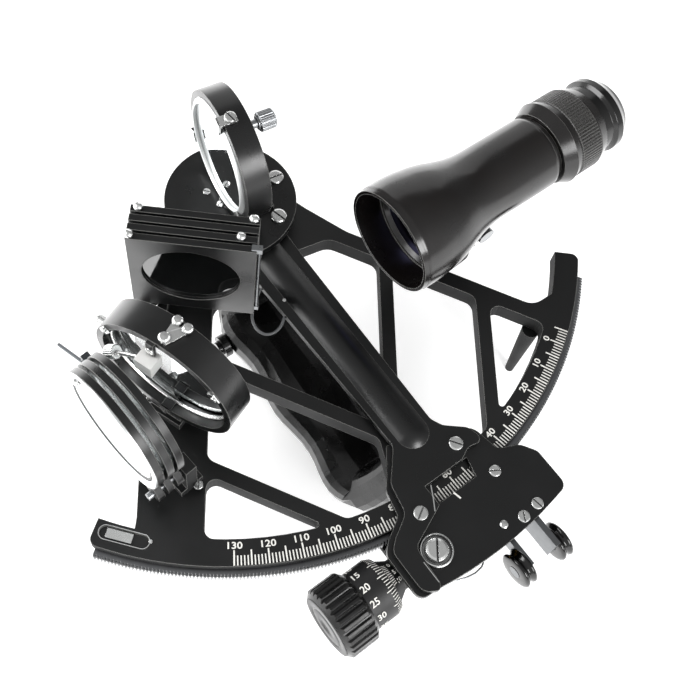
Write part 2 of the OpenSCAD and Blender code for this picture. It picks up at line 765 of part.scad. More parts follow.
module end_plate() {
    outline = concat([[129, -11.5], [139.5, -19.5], [144, -23.5], [155, -26], [160, -35],
        [164.5, -39.6], [185.8, -39.6]], arc_points(188.8, -9.4, 9.4, 8), [[184.9, 38.8],
        [167, 38.8], [160.5, 34.5], [156.5, 25.6], [144.5, 23.5], [138.5, 17], [135.3, 11.5]]);
    radii = concat([0.5, 8, 6, 4, 5, 5, 4], [for (i = [0:8]) 0.4], [4, 5, 6, 4, 7, 6, 0.5]);
    color("#181919") along_arm() difference() {
        union() {
            translate([0, 0, plate_low]) linear_extrude(height = plate_t) polygon(rounded(outline, radii));
            translate([lever_pivot.x, lever_pivot.y, carriage_low - 0.6])
                cylinder(r = lever_pin_r, h = plate_low - carriage_low + 1);
        }
        window_cut(2.4);
    }
}

// Two hooks that hold the arm's end to the arc
module arc_keeper() {
    hook_x = 161.05;
    lip_t = 3;
    low = -web_depth - arc_gap - lip_t;
    color("#1b1c1d") along_arm() for (y = [-36, 30]) {
        bar([hook_x, y, low], [3.2, 6, plate_low - flat_gap - low]);
        bar([hook_x - 11, y, low], [12, 6, lip_t]);
    }
}

module pivot_disk() {
    color("#202122") along_arm() difference() {
        translate([0, 0, hub_top + flat_gap]) cylinder(r = disk_r, h = disk_t - flat_gap);
        translate([0, 0, hub_top - 1]) cylinder(r = axle_r + flat_gap, h = disk_t + 2);
    }
}

module pivot_axle() {
    nut_low = -boss_depth - bush_flange - body_gap;
    color("#b9bcbe") along_arm() {
        translate([0, 0, nut_low - 4]) cylinder(r = axle_r, h = disk_top - nut_low + 4 - flat_gap);
        translate([0, 0, nut_low - 3]) cylinder(r = axle_r + 3.5, h = 3, $fn = 6);
    }
}

// Index mirror: it turns with the arm
module at_index(h = 0) {
    upright(index_centre, -index_plane + 180, eye_h) translate([0, 0, h]) children();
}

module index_holder() {
    color("#1d1d1e") difference() {
        union() {
            at_index() cylinder(r = index_r, h = index_depth);
            at_index() bar([-17, -eye_h + disk_top + flat_gap, 1], [34, 8, index_depth - 1]);
            at_index() bar([-17, -eye_h + disk_top + flat_gap, index_depth - 1], [34, 3, 9]);
        }
        at_index(-1) cylinder(r = index_r - ring_wall, h = mirror_t + 1.2);
        at_index(index_depth - 4) cylinder(r = index_r - ring_wall - 6, h = 6);
    }
}

module index_glass() {
    color("#dfe3e4") at_index(0.2 - flat_gap) cylinder(r = index_r - ring_wall - glass_gap, h = mirror_t);
}

module index_clips() {
    color("#c4c7c9") at_index(-1.2) for (a = [90, 210, 330]) rotate([0, 0, a]) {
        bar([index_r - ring_wall - 2, -2.5, 0], [ring_wall + 2.6, 5, 1.2 - flat_gap]);
        bar([index_r + flat_gap, -2.5, 0], [1.2, 5, 6]);
    }
}

module index_adjuster() {
    color("#c4c7c9") at_index(index_depth + flat_gap) translate([-6, 24, 0]) {
        cylinder(r = 2, h = 4);
        translate([0, 0, 3]) cylinder(r = 3.6, h = 7);
    }
}

module lamp_cap() {
    at = [174.4, -22.3];
    color("#c4c7c9") along_arm() translate([at.x, at.y, plate_top + flat_gap]) difference() {
        union() {
            cylinder(r = 6, h = 2.2);
            cylinder(r = 5, h = 3.2);
        }
        bar([-7, -0.5, 2.2], [14, 1, 2]);
    }
}

// Lead of the arc's lamp, which leaves the arm's edge and comes back to it
wire_r = 0.7;
wire_points = [[58, -11.9, 3.6], [59, -12.9, 3.6], [61.5, -17, 3.6], [61.5, -22, 3.6],
    [58, -25, 3.6], [53, -25, 3.6], [48, -22, 3.6], [44.5, -18, 3.6], [42, -14, 3.6],
    [41.2, -12.25, 3.6]];
wire_last = len(wire_points) - 1;
function wire_way(k) = k == 0 ? [0, -1, 0] : k == wire_last ? [0, 1, 0] :
    unit(wire_points[k + 1] - wire_points[k - 1]);
function wire_section(k) = let (side = cross(wire_way(k), [0, 0, 1]))
    [for (i = [0:7]) wire_points[k] + wire_r * (cos(45 * i) * side + sin(45 * i) * [0, 0, 1])];
module lamp_wire() {
    color("#9a9c9e") along_arm() tube_of([for (k = [wire_last:-1:0]) wire_section(k)]);
}

// A pulley-shaped finger disk whose axis lies along y
module finger_disk(x, y) {
    r = finger_disk_r;
    translate([x, y, finger_z]) rotate([-90, 0, 0]) rotate_extrude() polygon([[finger_eye_r, 0],
        [r - 0.8, 0], [r, 0.8], [r - 0.9, 2.2], [r - 1.2, 3], [r - 0.9, 3.8], [r, 5.2],
        [r - 0.8, 6], [finger_eye_r, 6]]);
}

module fixed_lever() {
    color("#2a2b2c") along_arm() {
        finger_disk(198.8, 21.5);
        bar([180, 18.9, -13.5], [21, 2.6 - flat_gap, 13.5 + plate_low - flat_gap]);
    }
}

module worm_carriage() {
    floor_at = carriage_low;
    color("#2a2b2c") along_arm() difference() {
        union() {
            translate([0, 0, floor_at]) linear_extrude(height = carriage_floor_t) polygon([
                [worm_x - 5, -20], [worm_x + 5, -20], [185.5, -10], [185.5, 10], [worm_x + 5, 18.5],
                [lever_pivot.x + 4.2, 27], [lever_pivot.x - 2.2, 27], [worm_x - 5, 18]]);
            bar([worm_x - 5, -20, floor_at], [10.5, 6.6, carriage_top - floor_at]);
            bar([worm_x - 5, 13.4, floor_at], [10.5, 5, carriage_top - floor_at]);
            translate(concat(lever_pivot, [floor_at])) cylinder(r = 4.4, h = carriage_top - floor_at);
            // The neck widens into the sleeve that the drum is read against
            translate([worm_x, 0, -worm_z]) rotate([90, 0, 0]) {
                translate([0, 0, 19]) cylinder(r = neck_low_r, h = sleeve_from - 19 + 0.1);
                translate([0, 0, sleeve_from])
                    cylinder(r1 = neck_low_r, r2 = sleeve_r, h = drum_at - sleeve_from - body_gap);
            }
        }
        translate([worm_x, 30, -worm_z]) rotate([90, 0, 0]) cylinder(r = shaft_r + running_gap, h = 80);
        translate(concat(lever_pivot, [floor_at - 1]))
            cylinder(r = lever_pin_r + running_gap, h = carriage_top - floor_at + 2);
    }
}

module release_lever() {
    color("#2a2b2c") along_arm() {
        finger_disk(198.3, 2);
        bar([181, 8 + flat_gap, carriage_low + carriage_floor_t + flat_gap], [19.5, 2.4, 7]);
    }
}

module worm() {
    pitch = rack_r * PI * tooth_step / 180;
    steps = 12;
    depth = 1.1;
    length = pitch * worm_turns;
    foot_r = worm_r - depth - 0.3;
    turns = [for (i = [0:steps * worm_turns])
        let (a = 360 * i / steps, z = -length / 2 + pitch * i / steps, u = [cos(a), sin(a), 0])
        [u * foot_r + [0, 0, z + 0.45], u * worm_r + [0, 0, z + 0.15],
            u * worm_r + [0, 0, z - 0.15], u * foot_r + [0, 0, z - 0.45]]];
    color("#b08d4a") along_worm() {
        cylinder(r = worm_r - depth, h = length + 1.6, center = true);
        translate([0, 0, -18]) cylinder(r = shaft_r, h = 18 + shaft_end);
        tube_of(turns);
    }
}

module drum() {
    bevel = 2.4;
    color("#202021") along_worm() translate([0, 0, drum_at]) difference() {
        union() {
            cylinder(r1 = drum_r - bevel / 2, r2 = drum_r, h = bevel);
            translate([0, 0, bevel]) cylinder(r = drum_r, h = drum_len - bevel);
        }
        translate([0, 0, -1]) cylinder(r = shaft_r + flat_gap, h = drum_len + 2);
    }
}

module drum_knob() {
    crest = 360 / knob_ridges;
    low = knob_r - 0.9;
    outline = [for (i = [0:knob_ridges - 1]) each [low * [cos(i * crest), sin(i * crest)],
        knob_r * [cos((i + 0.2) * crest), sin((i + 0.2) * crest)],
        knob_r * [cos((i + 0.6) * crest), sin((i + 0.6) * crest)],
        low * [cos((i + 0.8) * crest), sin((i + 0.8) * crest)]]];
    color("#171718") along_worm() translate([0, 0, drum_at + drum_len + flat_gap]) difference() {
        intersection() {
            linear_extrude(height = knob_len) polygon(outline);
            union() {
                cylinder(r1 = knob_r - 2, r2 = knob_r + 0.5, h = 2.5);
                translate([0, 0, 2.5]) cylinder(r = knob_r + 0.5, h = knob_len - 5);
                translate([0, 0, knob_len - 2.5]) cylinder(r1 = knob_r + 0.5, r2 = knob_r - 2, h = 2.5);
            }
        }
        translate([0, 0, -1]) cylinder(r = shaft_r + flat_gap, h = knob_len - 2);
    }
}

frame_casting();
arc_rack();
pivot_bush();
leg_1();
leg_2();
leg_3();
handle();
battery_cap();
switch_collar();
light_switch();
scope_bracket();
scope_clamp();
scope_tube();
objective_ring();
objective_lens();
focus_ring();
eye_cup();
eye_lens();
horizon_bracket();
horizon_ring();
horizon_glass();
horizon_silver();
horizon_clips();
horizon_adjusters();
index_shade_bracket();
index_shade_pin();
index_shade_1();
index_shade_2();
index_shade_3();
index_shade_4();
index_filter_1();
index_filter_2();
index_filter_3();
index_filter_4();
horizon_shade_bracket();
horizon_shade_pin();
horizon_shade_1();
horizon_shade_2();
horizon_shade_3();
horizon_filter_1();
horizon_filter_2();
horizon_filter_3();
index_arm();
end_plate();
arc_keeper();
pivot_disk();
pivot_axle();
index_holder();
index_glass();
index_clips();
index_adjuster();
lamp_cap();
lamp_wire();
fixed_lever();
worm_carriage();
release_lever();
worm();
drum();
drum_knob();
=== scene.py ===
import bpy
import numpy as np
from mathutils import Matrix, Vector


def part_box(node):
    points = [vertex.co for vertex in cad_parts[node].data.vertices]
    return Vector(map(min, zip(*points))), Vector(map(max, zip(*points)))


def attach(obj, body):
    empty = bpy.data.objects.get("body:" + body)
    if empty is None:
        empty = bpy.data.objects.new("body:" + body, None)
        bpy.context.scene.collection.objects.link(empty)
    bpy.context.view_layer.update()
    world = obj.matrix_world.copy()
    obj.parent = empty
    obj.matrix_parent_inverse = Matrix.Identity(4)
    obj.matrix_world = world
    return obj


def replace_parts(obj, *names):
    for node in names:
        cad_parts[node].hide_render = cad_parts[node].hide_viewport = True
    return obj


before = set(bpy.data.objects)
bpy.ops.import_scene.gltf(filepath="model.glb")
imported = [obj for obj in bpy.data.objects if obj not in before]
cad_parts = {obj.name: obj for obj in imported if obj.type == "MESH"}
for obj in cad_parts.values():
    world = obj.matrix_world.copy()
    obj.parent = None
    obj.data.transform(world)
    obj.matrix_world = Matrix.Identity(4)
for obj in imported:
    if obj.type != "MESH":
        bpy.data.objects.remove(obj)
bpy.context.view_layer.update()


# ---- The instrument's own frame
# Every size below is in millimetres from the index arm's pivot, as on a maker's drawing: z = 0 is the
# arc's top face and +z looks up at the viewer. The scale's zero lies along +x.
MM = 0.001
ARM_TURN = -30.9  # degrees from the scale's zero to the index arm
pivot_low, pivot_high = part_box("pivot_axle")
arc_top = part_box("frame_casting")[1].z
PIVOT = np.array([(pivot_low.x + pivot_high.x) / 2, (pivot_low.y + pivot_high.y) / 2, arc_top])


def row(points):
    """Points in millimetres from the pivot, to metres in the part's row frame."""
    return np.asarray(points, float) * MM + PIVOT


def turned(points, degrees):
    """Points turned about the pivot's axis: x' = x cos a - y sin a, y' = x sin a + y cos a."""
    p = np.asarray(points, float)
    a = np.radians(degrees)
    x, y = p[..., 0], p[..., 1]
    return np.stack([x * np.cos(a) - y * np.sin(a), x * np.sin(a) + y * np.cos(a), p[..., 2]], -1)


# ---- Camera
# A short telephoto above the arc, 0.5 m from the instrument, as the photograph was taken. Its place and
# angle were fitted to the arc's graduations, the telescope and both mirrors.
def unit(v):
    """Vectors at length 1."""
    return v / np.linalg.norm(v, axis=-1, keepdims=True)


def stood(right, up, back, spot):
    """The matrix of a camera or a lamp that looks away from back, at a spot in metres."""
    return Matrix(np.vstack([np.column_stack([right, up, back, spot]), [0, 0, 0, 1]]).tolist())


camera = bpy.data.objects.new("camera", bpy.data.cameras.new("camera"))
bpy.context.scene.collection.objects.link(camera)
camera_spot = [107.5, -242.8, 438.6]
view = unit(np.array([-0.1256, 0.4631, -0.8774]))
right = np.array([0.9216, 0.3818, 0.0695])
right = unit(right - view * (right @ view))
camera.matrix_world = stood(right, np.cross(right, view), -view, row(camera_spot))
camera.data.sensor_fit = "HORIZONTAL"
camera.data.sensor_width = 36
camera.data.lens = 57.6
camera.data.shift_x = 0.0553
camera.data.shift_y = -0.1157
camera.data.clip_start = 0.01
bpy.context.scene.camera = camera
bpy.context.scene.view_settings.view_transform = "Standard"


# ---- Table and light
# A white studio sweep under a pale room, with soft lamps to the left, the right and behind. They give
# black enamel its grey sheen and leave only a faint shadow under the frame.
def linear(colour):
    """sRGB hex to linear light: the inverse of the sRGB curve, channel by channel."""
    c = np.array([int(colour[k:k + 2], 16) / 255 for k in (1, 3, 5)])
    return (*np.where(c <= 0.04045, c / 12.92, ((c + 0.055) / 1.055) ** 2.4), 1.0)


def put(tree, kind, sockets=None, **settings):
    """Adds one node: settings are its properties, sockets its inputs, each a value or an output to link."""
    node = tree.nodes.new(kind)
    for name, value in settings.items():
        setattr(node, name, value)
    for name, value in (sockets or {}).items():
        if isinstance(value, bpy.types.NodeSocket):
            tree.links.new(value, node.inputs[name])
        else:
            node.inputs[name].default_value = value
    return node


def blank(name):
    """A new material with an empty node tree."""
    material = bpy.data.materials.new(name)
    material.use_nodes = True
    material.node_tree.nodes.clear()
    return material, material.node_tree


white = linear("#ffffff")
sweep, tree = blank("white_sweep")
rays = put(tree, "ShaderNodeLightPath").outputs
paper = put(tree, "ShaderNodeBsdfDiffuse", {"Color": linear("#f4f4f4")}).outputs[0]
# Metal and enamel see the floor brighter on the left, where the sweep is lit, than on the right.
spread = put(tree, "ShaderNodeSeparateXYZ", {"Vector": put(tree, "ShaderNodeTexCoord").outputs["Object"]})
lit = put(tree, "ShaderNodeMapRange", {"Value": spread.outputs["X"], "From Min": -0.4, "From Max": 0.2,
                                       "To Min": 1.6, "To Max": 0.5})
mirrored = put(tree, "ShaderNodeMath", {0: rays["Is Glossy Ray"], 1: lit.outputs["Result"], 2: 0.5},
               operation="MULTIPLY_ADD")
glow = put(tree, "ShaderNodeEmission", {"Color": white, "Strength": mirrored.outputs[0]})
both = put(tree, "ShaderNodeAddShader", {0: paper, 1: glow.outputs[0]})
straight = put(tree, "ShaderNodeMath", {0: 1.0, 1: rays["Is Diffuse Ray"]}, operation="SUBTRACT")
seen = put(tree, "ShaderNodeMixShader", {0: straight.outputs[0], 1: paper, 2: both.outputs[0]})
put(tree, "ShaderNodeOutputMaterial", {"Surface": seen.outputs[0]})
half = 4  # metres from the middle to each edge
floor_mesh = bpy.data.meshes.new("floor")
corners = [(-half, -half, 0), (half, -half, 0), (half, half, 0), (-half, half, 0)]
floor_mesh.from_pydata(corners, [], [(0, 1, 2, 3)])
floor_mesh.materials.append(sweep)
floor = bpy.data.objects.new("floor", floor_mesh)
bpy.context.scene.collection.objects.link(floor)

# The room is darker overhead and toward the back, as metal sees it. To the camera it is plain white.
world = bpy.data.worlds.new("pale_room")
bpy.context.scene.world = world
world.use_nodes = True
tree = world.node_tree
tree.nodes.clear()
toward = put(tree, "ShaderNodeSeparateXYZ", {"Vector": put(tree, "ShaderNodeTexCoord").outputs["Generated"]})
overhead = put(tree, "ShaderNodeMapRange", {"Value": toward.outputs["Z"], "From Min": 0.2, "From Max": 0.8,
                                            "To Min": 1.0, "To Max": 0.62})
behind = put(tree, "ShaderNodeMapRange", {"Value": toward.outputs["Y"], "From Min": 0.0, "From Max": 0.7,
                                          "To Min": 1.0, "To Max": 0.3})
fade = put(tree, "ShaderNodeMath", {0: overhead.outputs["Result"], 1: behind.outputs["Result"]},
           operation="MULTIPLY")
rays = put(tree, "ShaderNodeLightPath").outputs
strength = 0.5
for ray, level in (("Is Glossy Ray", fade.outputs[0]), ("Is Transmission Ray", 1.0), ("Is Camera Ray", 1.0)):
    strength = put(tree, "ShaderNodeMix", {"Factor": rays[ray], "A": strength, "B": level}).outputs["Result"]
sky = put(tree, "ShaderNodeBackground", {"Color": white, "Strength": strength})
put(tree, "ShaderNodeOutputWorld", {"Surface": sky.outputs[0]})

# Each lamp stands at a spot in millimetres and is so many metres wide.
for name, spot, wide, watts in (("lamp_left", (-900, -350, 600), 0.7, 14),
                                ("lamp_right", (800, -500, 600), 0.45, 9),
                                ("lamp_back", (-250, 900, 420), 0.8, 2)):
    lamp = bpy.data.objects.new(name, bpy.data.lights.new(name, "AREA"))
    lamp.data.size = wide
    lamp.data.energy = watts
    spot = np.array(spot, float)
    back = unit(spot)
    right = unit(np.cross([0, 0, 1], back))
    lamp.matrix_world = stood(right, np.cross(back, right), back, spot * MM)
    bpy.context.scene.collection.objects.link(lamp)


# ---- Cast frame, arc and arm: enamelled castings
# The frame, its legs, the arm, its end plate and the brackets are sand-cast light alloy under satin black
# stoving enamel, which lies a little uneven, as orange peel does. Its edges are painted paler, a painted
# highlight.
def enamel(name, colour, rough, grain_mm, depth, edge, walls=0.0):
    """Enamel: noise of grain_mm lifts the coat by depth. Edges turn over edge mm and are painted pale there,
    a painted highlight.
    Upright walls, left as they were cast, are rougher by walls than the level faces."""
    material, tree = blank(name)
    at = put(tree, "ShaderNodeTexCoord").outputs["Object"]
    cloud = put(tree, "ShaderNodeTexNoise", {"Vector": at, "Scale": 60.0, "Detail": 4.0}).outputs["Fac"]
    peel = put(tree, "ShaderNodeTexNoise", {"Vector": at, "Scale": 1 / (grain_mm * MM), "Detail": 3.0,
                                            "Roughness": 0.6})
    tone = put(tree, "ShaderNodeMix", {"Factor": cloud, "A": linear(colour), "B": linear("#060607")},
               data_type="RGBA")
    gloss = put(tree, "ShaderNodeMapRange", {"Value": cloud, "From Min": 0.3, "From Max": 0.7,
                                             "To Min": rough - 0.05, "To Max": rough + 0.07})
    turn = put(tree, "ShaderNodeBevel", {"Radius": edge * MM}, samples=4).outputs["Normal"]
    lift = put(tree, "ShaderNodeBump", {"Height": peel.outputs["Fac"], "Strength": 0.35, "Normal": turn,
                                        "Distance": depth * MM})
    true = put(tree, "ShaderNodeNewGeometry").outputs["Normal"]
    slope = put(tree, "ShaderNodeSeparateXYZ", {"Vector": true})
    level = put(tree, "ShaderNodeMath", {0: slope.outputs["Z"]}, operation="ABSOLUTE")
    rougher = put(tree, "ShaderNodeMapRange", {"Value": level.outputs[0], "From Min": 0.2, "From Max": 0.8,
                                               "To Min": walls, "To Max": 0.0})
    gloss = put(tree, "ShaderNodeMath", {0: gloss.outputs["Result"], 1: rougher.outputs["Result"]})
    # Painted highlight: where the bevelled normal leaves the true one, the colour is mixed toward pale
    # #acaca8.
    along = put(tree, "ShaderNodeVectorMath", {0: turn, 1: true}, operation="DOT_PRODUCT")
    edge_highlight = put(tree, "ShaderNodeMapRange", {"Value": along.outputs["Value"], "From Min": 0.985,
                                              "From Max": 0.75, "To Min": 0.0, "To Max": 0.8})
    shade = put(tree, "ShaderNodeMix", {"Factor": edge_highlight.outputs["Result"], "A": tone.outputs["Result"],
                                        "B": linear("#acaca8")}, data_type="RGBA")
    shader = put(tree, "ShaderNodeBsdfPrincipled", {"Base Color": shade.outputs["Result"], "IOR": 1.5,
                                                    "Roughness": gloss.outputs[0],
                                                    "Normal": lift.outputs["Normal"]})
    put(tree, "ShaderNodeOutputMaterial", {"Surface": shader.outputs[0]})
    return material


def wear(material, *names):
    """Gives CAD nodes their finish."""
    for name in names:
        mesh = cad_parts[name].data
        mesh.materials.clear()
        mesh.materials.append(material)


def numbered(name, count):
    """The names of like CAD nodes: name_1 to name_count."""
    return ["%s_%d" % (name, k + 1) for k in range(count)]


cast_enamel = enamel("satin_stoving_enamel_on_cast_alloy", "#0b0c0c", 0.36, 0.9, 0.04, 0.5, 0.45)
wear(cast_enamel, "frame_casting", "leg_1", "leg_2", "leg_3", "scope_bracket", "horizon_bracket",
     "index_shade_bracket", "horizon_shade_bracket", "arc_keeper", "worm_carriage")
plate_enamel = enamel("smooth_satin_enamel_on_brass_plate", "#0a0b0b", 0.3, 1.4, 0.02, 0.45)
wear(plate_enamel, "index_arm", "end_plate", "pivot_disk", "index_holder", "horizon_ring",
     *numbered("index_shade", 4), *numbered("horizon_shade", 3))
tube_enamel = enamel("baked_gloss_enamel_on_tube", "#15110f", 0.22, 1.8, 0.006, 0.4)
wear(tube_enamel, "scope_tube", "objective_ring", "focus_ring")


# ---- Bright fittings
# Screws, studs and clips are turned or pressed from brass and nickel plated. The worm and the pivot's bush
# are bare brass, the rack is tinned bronze, and the scope's clamp and the horizon shades' pin are steel.
def bright(name, colour, rough):
    """Bare or plated metal with a faint cloudiness of 3 mm, and painted shade within 1.8 mm of slots and
    corners.
    """
    material, tree = blank(name)
    metal = linear(colour)
    at = put(tree, "ShaderNodeTexCoord").outputs["Object"]
    cloud = put(tree, "ShaderNodeTexNoise", {"Vector": at, "Scale": 330.0, "Detail": 3.0})
    gloss = put(tree, "ShaderNodeMapRange", {"Value": cloud.outputs["Fac"], "From Min": 0.3, "From Max": 0.7,
                                             "To Min": rough - 0.03, "To Max": rough + 0.04})
    turn = put(tree, "ShaderNodeBevel", {"Radius": 0.12 * MM}, samples=4).outputs["Normal"]
    # Painted shade: slots, corners and crevices are darkened toward #101010 by ambient occlusion.
    nook = put(tree, "ShaderNodeAmbientOcclusion", {"Color": metal, "Distance": 1.8 * MM, "Normal": turn},
               samples=6)
    crevice_shade = put(tree, "ShaderNodeMapRange", {"Value": nook.outputs["AO"], "From Min": 0.35, "From Max": 0.85,
                                             "To Min": 0.9, "To Max": 0.0})
    tone = put(tree, "ShaderNodeMix", {"Factor": crevice_shade.outputs["Result"], "A": metal, "B": linear("#101010")},
               data_type="RGBA")
    shader = put(tree, "ShaderNodeBsdfPrincipled", {"Base Color": tone.outputs["Result"], "Metallic": 1.0,
                                                    "Roughness": gloss.outputs["Result"], "Normal": turn})
    put(tree, "ShaderNodeOutputMaterial", {"Surface": shader.outputs[0]})
    return material


nickel = bright("nickel_plated_brass", "#e4e5e4", 0.24)
wear(nickel, "index_shade_pin", "pivot_axle")
steel = bright("spring_steel", "#8f9193", 0.3)
wear(steel, "scope_clamp", "horizon_shade_pin")
brass = bright("turned_brass", "#b08d4a", 0.3)
wear(brass, "pivot_bush", "worm")
rack_bronze = bright("tinned_bronze_rack", "#77787a", 0.34)
wear(rack_bronze, "arc_rack")


# ---- Moulded plastic
# The grip, its battery cap and the drum's knob are moulded in fine-spark black plastic. The light's switch
# and the eyecup are polished. The two halves of the grip's mould left a faint line at its middle height.
def moulded(name, colour, rough, line=None):
    """Spark-eroded grain of 0.25 mm. With a line, a ridge 0.3 mm wide at that height in millimetres."""
    material, tree = blank(name)
    at = put(tree, "ShaderNodeTexCoord").outputs["Object"]
    grain = put(tree, "ShaderNodeTexNoise", {"Vector": at, "Scale": 4000.0, "Detail": 2.0})
    cloud = put(tree, "ShaderNodeTexNoise", {"Vector": at, "Scale": 90.0, "Detail": 5.0}).outputs["Fac"]
    tone = put(tree, "ShaderNodeMix", {"Factor": cloud, "A": linear(colour), "B": linear("#050505")},
               data_type="RGBA")
    gloss = put(tree, "ShaderNodeMapRange", {"Value": cloud, "From Min": 0.3, "From Max": 0.7,
                                             "To Min": rough - 0.06, "To Max": rough + 0.1})
    turn = put(tree, "ShaderNodeBevel", {"Radius": 0.4 * MM}, samples=4).outputs["Normal"]
    lift = put(tree, "ShaderNodeBump", {"Height": grain.outputs["Fac"], "Strength": 0.3, "Normal": turn,
                                        "Distance": 0.03 * MM})
    if line is not None:
        height = put(tree, "ShaderNodeSeparateXYZ", {"Vector": at}).outputs["Z"]
        near = put(tree, "ShaderNodeMath", {0: height, 1: line * MM + PIVOT[2], 2: 0.15 * MM},
                   operation="COMPARE")
        lift = put(tree, "ShaderNodeBump", {"Height": near.outputs[0], "Strength": 0.6, "Distance": 0.1 * MM,
                                            "Normal": lift.outputs["Normal"]})
    shader = put(tree, "ShaderNodeBsdfPrincipled", {"Base Color": tone.outputs["Result"], "IOR": 1.49,
                                                    "Roughness": gloss.outputs["Result"],
                                                    "Normal": lift.outputs["Normal"]})
    put(tree, "ShaderNodeOutputMaterial", {"Surface": shader.outputs[0]})
    return material


grip_plastic = moulded("moulded_black_abs_plastic", "#080808", 0.24, -38.2)
wear(grip_plastic, "handle", "switch_collar")
knob_plastic = moulded("moulded_black_phenolic", "#0c0c0c", 0.28)
wear(knob_plastic, "drum_knob", "battery_cap")
gloss_plastic = moulded("polished_black_acetal", "#080808", 0.12)
wear(gloss_plastic, "light_switch")
cup_plastic = moulded("moulded_black_eyecup_plastic", "#090909", 0.18)
wear(cup_plastic, "eye_cup")


# ---- Glass
# Both mirrors are silvered on the front. The shades of the index mirror are dense neutral glass, and
# those of the horizon mirror pale. The telescope's lenses carry a blue coating that turns violet.
def polished(name, colour, **more):
    """Polished glass or silver: a few faint wipe marks of 8 mm change the gloss."""
    material, tree = blank(name)
    at = put(tree, "ShaderNodeTexCoord").outputs["Object"]
    wipe = put(tree, "ShaderNodeTexNoise", {"Vector": at, "Scale": 120.0, "Detail": 6.0, "Distortion": 1.5})
    gloss = put(tree, "ShaderNodeMapRange", {"Value": wipe.outputs["Fac"], "From Min": 0.45, "From Max": 0.75,
                                             "To Min": 0.02, "To Max": 0.1})
    shader = put(tree, "ShaderNodeBsdfPrincipled", {"Base Color": linear(colour),
                                                    "Roughness": gloss.outputs["Result"], **more})
    put(tree, "ShaderNodeOutputMaterial", {"Surface": shader.outputs[0]})
    return material


silvered = polished("front_silvered_glass", "#e4e7e8", Metallic=1.0)
wear(silvered, "index_glass", "horizon_silver")
clear_glass = polished("clear_crown_glass", "#f4f8f8", IOR=1.52, **{"Transmission Weight": 1.0})
wear(clear_glass, "horizon_glass")
dense_glass = polished("dense_neutral_shade_glass", "#030404", IOR=1.95)
wear(dense_glass, *numbered("index_filter", 4))
pale_glass = polished("pale_neutral_shade_glass", "#cfd4d4", IOR=1.52, **{"Transmission Weight": 0.6})
wear(pale_glass, *numbered("horizon_filter", 3))
coated = polished("blue_coated_lens", "#05060c", IOR=1.9, **{
    "Specular Tint": linear("#8f9cff"), "Coat Weight": 0.5, "Coat Tint": linear("#b9a0e8")})
wear(coated, "objective_lens", "eye_lens")


# ---- Scale on the arc
# Degree lines and numerals from -5 to 130 are engraved in the arc's top face and filled with white paint.
# A degree of the scale is half a degree of the arc. The lines stand 0.03 mm proud, to show clean.
paint, tree = blank("white_engraving_paint")
at = put(tree, "ShaderNodeTexCoord").outputs["Object"]
dust = put(tree, "ShaderNodeTexNoise", {"Vector": at, "Scale": 900.0, "Detail": 2.0})
tone = put(tree, "ShaderNodeMix", {"Factor": dust.outputs["Fac"], "A": linear("#f4f3ee"),
                                   "B": linear("#cfcec8")}, data_type="RGBA")
shader = put(tree, "ShaderNodeBsdfPrincipled", {"Base Color": tone.outputs["Result"], "Roughness": 0.6})
put(tree, "ShaderNodeOutputMaterial", {"Surface": shader.outputs[0]})


def shown(name, shape, material, body, place=None, smooth=False):
    """A mesh from a shape's points in millimetres and its faces, with its finish, riding on a CAD body.
    Place takes the points from the piece's own frame to the instrument's."""
    points, faces = shape
    points = place(points) if place else points
    mesh = bpy.data.meshes.new(name)
    mesh.from_pydata(row(points).tolist(), [], faces)
    mesh.polygons.foreach_set("use_smooth", [smooth] * len(mesh.polygons))
    mesh.materials.append(material)
    mesh.update()
    piece = bpy.data.objects.new(name, mesh)
    bpy.context.scene.collection.objects.link(piece)
    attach(piece, body)
    return piece


def joined(shapes):
    """Several shapes as one, each face's numbers raised by the points before it."""
    points, faces, count = [], [], 0
    for p, f in shapes:
        points.append(p)
        faces += [[k + count for k in face] for face in f]
        count += len(p)
    return np.concatenate(points), faces


def bars(start, end, width):
    """Flat quads: each runs from start to end, half its width to either side, and faces +z."""
    start, end = np.asarray(start, float), np.asarray(end, float)
    way = unit(end - start)
    across = np.stack([-way[:, 1], way[:, 0], 0 * way[:, 0]], -1) * np.asarray(width).reshape(-1, 1) / 2
    corners = np.stack([start - across, end - across, end + across, start + across], 1)
    return corners.reshape(-1, 3), np.arange(len(start) * 4).reshape(-1, 4).tolist()


def figures(text, height, weight):
    """Numerals as flat faces on z = 0: x to the right from their middle, y up from the foot."""
    curve = bpy.data.curves.new("figures", "FONT")
    curve.body = text
    curve.align_x = "CENTER"
    curve.size = height / 0.72
    curve.offset = weight
    curve.resolution_u = 3
    holder = bpy.data.objects.new("figures", curve)
    bpy.context.scene.collection.objects.link(holder)
    mesh = bpy.data.meshes.new_from_object(holder.evaluated_get(bpy.context.evaluated_depsgraph_get()))
    points = np.empty(len(mesh.vertices) * 3)
    mesh.vertices.foreach_get("co", points)
    faces = [list(p.vertices) for p in mesh.polygons]
    bpy.data.objects.remove(holder)
    bpy.data.meshes.remove(mesh)
    return points.reshape(-1, 3), faces


def radial(radius, degrees, lift=0.0):
    """Points on a circle about the pivot: (r cos a, r sin a, lift)."""
    a = np.radians(degrees)
    return np.stack(np.broadcast_arrays(radius * np.cos(a), radius * np.sin(a), lift), -1)


